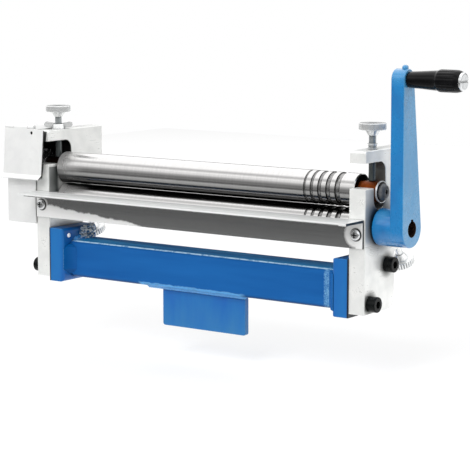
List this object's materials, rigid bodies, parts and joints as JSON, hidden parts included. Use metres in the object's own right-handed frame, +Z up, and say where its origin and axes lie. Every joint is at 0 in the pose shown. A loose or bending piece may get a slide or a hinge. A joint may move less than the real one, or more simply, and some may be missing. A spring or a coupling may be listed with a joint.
{
  "type": "slip roll",
  "caption": "Bench slip roll: geared rolls between side plates, a rear bending roll on slanted screws, a feed angle, a gear cover with a flap, a crank, and a tab for a vise.",
  "frame": {"origin": "centre of the vise tab's front face below its weld, which a bench vise holds", "axes": "+X along the rolls towards the crank, +Y towards the back, +Z up"},
  "size_m": [0.4631, 0.1096, 0.2377],
  "materials": {
    "cast_plate_metal": "fine-milled pale aluminium",
    "blue_enamel": "semi-gloss blue enamel",
    "crank_enamel": "semi-gloss light blue enamel on a casting",
    "polished_steel": "ground and polished roll steel",
    "galvanised_sheet": "bright zinc-plated sheet",
    "cover_sheet_metal": "plain pale zinc-plated sheet",
    "zinc_screw": "bright zinc plate",
    "black_oxide": "black-oxide screw steel",
    "bronze_bush": "oiled sintered bronze",
    "gear_steel": "machined steel",
    "black_grip": "satin black plastic"
  },
  "bodies": {
    "frame": {"left_side_plate": "cast_plate_metal", "right_side_plate": "cast_plate_metal", "left_end_plate": "blue_enamel", "right_end_plate": "blue_enamel", "beam_tube": "blue_enamel", "vise_tab": "blue_enamel", "weld_beads": "blue_enamel", "frame_cap_screws": "black_oxide", "feed_angle": "galvanised_sheet", "feed_angle_screws": "zinc_screw", "lower_roll_bush_left": "bronze_bush", "lower_roll_bush_right": "bronze_bush", "gear_cover": "cover_sheet_metal", "gear_cover_screws": "zinc_screw", "flap_hinge_pin": "zinc_screw"},
    "crank_shaft": {"lower_roll": "polished_steel", "lower_gear": "gear_steel", "lower_gear_key": "gear_steel", "lower_roll_end_washer": "gear_steel", "lower_roll_end_screw": "gear_steel", "crank_arm": "crank_enamel", "crank_key": "gear_steel", "crank_set_screw": "black_oxide", "handle_spindle": "zinc_screw", "spindle_lock_screw": "crank_enamel"},
    "handle": {"handle_grip": "black_grip"},
    "top_carriage": {"top_roll_bush_left": "bronze_bush", "top_roll_bush_right": "bronze_bush"},
    "top_roll_body": {"top_roll": "polished_steel", "top_gear": "gear_steel", "top_gear_key": "gear_steel", "top_roll_end_washers": "gear_steel", "top_roll_end_screws": "gear_steel"},
    "left_adjuster": {"adjusting_screw_left": "zinc_screw"},
    "right_adjuster": {"adjusting_screw_right": "zinc_screw"},
    "lock_nut": {"wing_nut": "zinc_screw"},
    "rear_carriage": {"rear_roll_bush_left": "bronze_bush", "rear_roll_bush_right": "bronze_bush"},
    "rear_roll_body": {"rear_roll": "polished_steel", "rear_roll_end_washers": "gear_steel", "rear_roll_end_screws": "gear_steel"},
    "left_rear_adjuster": {"rear_adjusting_screw_left": "zinc_screw"},
    "right_rear_adjuster": {"rear_adjusting_screw_right": "zinc_screw"},
    "cover_flap": {"gear_cover_flap": "cover_sheet_metal"}
  },
  "joints": [
    {"name": "crank_turn", "type": "hinge", "parent": "frame", "child": "crank_shaft", "pos_m": [0, 0.0039, 0.0899], "axis": [1, 0, 0], "continuous": true},
    {"name": "handle_spin", "type": "hinge", "parent": "crank_shaft", "child": "handle", "pos_m": [0.23, -0.0037, 0.21066], "axis": [1, 0, 0], "continuous": true},
    {"name": "top_roll_lift", "type": "slide", "parent": "frame", "child": "top_carriage", "axis": [0, 0, 1], "range_m": [0, 0.0015]},
    {"name": "top_roll_turn", "type": "hinge", "parent": "top_carriage", "child": "top_roll_body", "pos_m": [0, 0.0039, 0.1184], "axis": [1, 0, 0], "continuous": true},
    {"name": "left_adjuster_turn", "type": "hinge", "parent": "top_carriage", "child": "left_adjuster", "pos_m": [-0.1675, 0.0039, 0.1528], "axis": [0, 0, 1], "range_deg": [0, 540]},
    {"name": "right_adjuster_turn", "type": "hinge", "parent": "top_carriage", "child": "right_adjuster", "pos_m": [0.1675, 0.0039, 0.1528], "axis": [0, 0, 1], "range_deg": [0, 540]},
    {"name": "lock_nut_turn", "type": "hinge", "parent": "frame", "child": "lock_nut", "pos_m": [-0.1675, 0.0039, 0.1528], "axis": [0, 0, 1], "continuous": true},
    {"name": "rear_roll_rise", "type": "slide", "parent": "frame", "child": "rear_carriage", "axis": [0, -0.4226, 0.9063], "range_m": [0, 0.012]},
    {"name": "rear_roll_turn", "type": "hinge", "parent": "rear_carriage", "child": "rear_roll_body", "pos_m": [0, 0.0371, 0.0875], "axis": [1, 0, 0], "continuous": true},
    {"name": "left_rear_adjuster_turn", "type": "hinge", "parent": "rear_carriage", "child": "left_rear_adjuster", "pos_m": [-0.1675, 0.04057, 0.08007], "axis": [0, -0.4226, 0.9063], "range_deg": [0, 4320]},
    {"name": "right_rear_adjuster_turn", "type": "hinge", "parent": "rear_carriage", "child": "right_rear_adjuster", "pos_m": [0.1675, 0.04057, 0.08007], "axis": [0, -0.4226, 0.9063], "range_deg": [0, 4320]},
    {"name": "cover_flap_swing", "type": "hinge", "parent": "frame", "child": "cover_flap", "pos_m": [-0.185, -0.0207, 0.15495], "axis": [-1, 0, 0], "range_deg": [0, 110]}
  ],
  "couplings": [
    {"joint": "top_roll_turn", "follows": "crank_turn", "ratio": -1},
    {"joint": "left_adjuster_turn", "follows": "top_roll_lift", "rad_per_m": 6283.2},
    {"joint": "right_adjuster_turn", "follows": "top_roll_lift", "rad_per_m": 6283.2},
    {"joint": "left_rear_adjuster_turn", "follows": "rear_roll_rise", "rad_per_m": 6283.2},
    {"joint": "right_rear_adjuster_turn", "follows": "rear_roll_rise", "rad_per_m": 6283.2}
  ]
}
